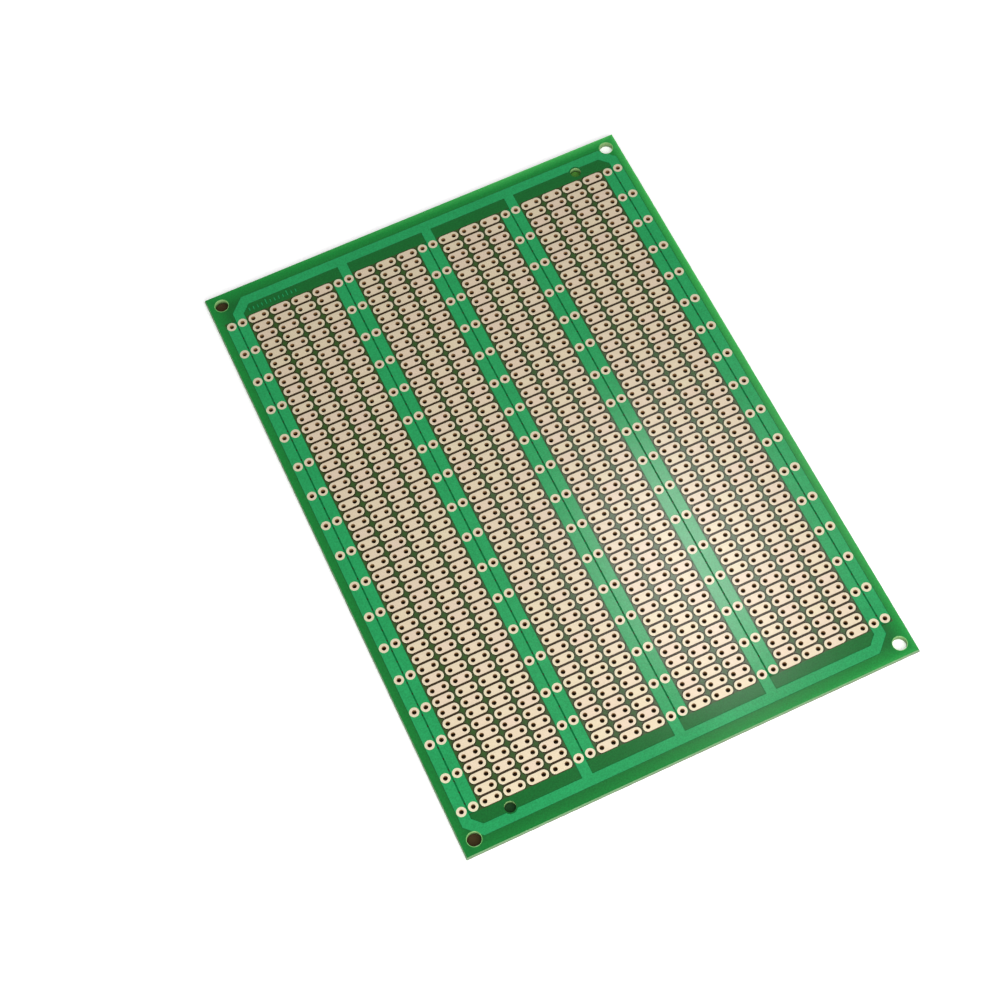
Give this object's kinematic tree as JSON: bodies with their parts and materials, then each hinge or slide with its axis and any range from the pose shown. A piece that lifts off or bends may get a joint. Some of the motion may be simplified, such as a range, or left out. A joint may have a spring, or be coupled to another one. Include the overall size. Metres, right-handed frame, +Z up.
{
  "type": "bare prototyping circuit board",
  "caption": "Flat rectangular prototyping circuit board with a grid of drilled two-hole copper pads between paired bus strips, green solder mask and corner mounting holes.",
  "frame": {"origin": "centre of the board's underside", "axes": "+X across the hole columns, +Y along them to the end with the etched scale, +Z up out of the copper side"},
  "size_m": [0.1, 0.14, 0.0016],
  "materials": {
    "laminate": "translucent pale yellow-green glass-epoxy sheet, sawn and snapped at its edges",
    "bare_copper": "etched copper foil, matt pinkish tan, under a clear protective lacquer",
    "solder_mask": "satin green lacquer"
  },
  "bodies": {
    "root": {"laminate": "laminate", "pad_field_1": "bare_copper", "pad_field_2": "bare_copper", "pad_field_3": "bare_copper", "pad_field_4": "bare_copper", "upper_bus": "bare_copper", "lower_bus": "bare_copper", "scale_marks": "bare_copper", "solder_mask": "solder_mask"}
  },
  "joints": []
}
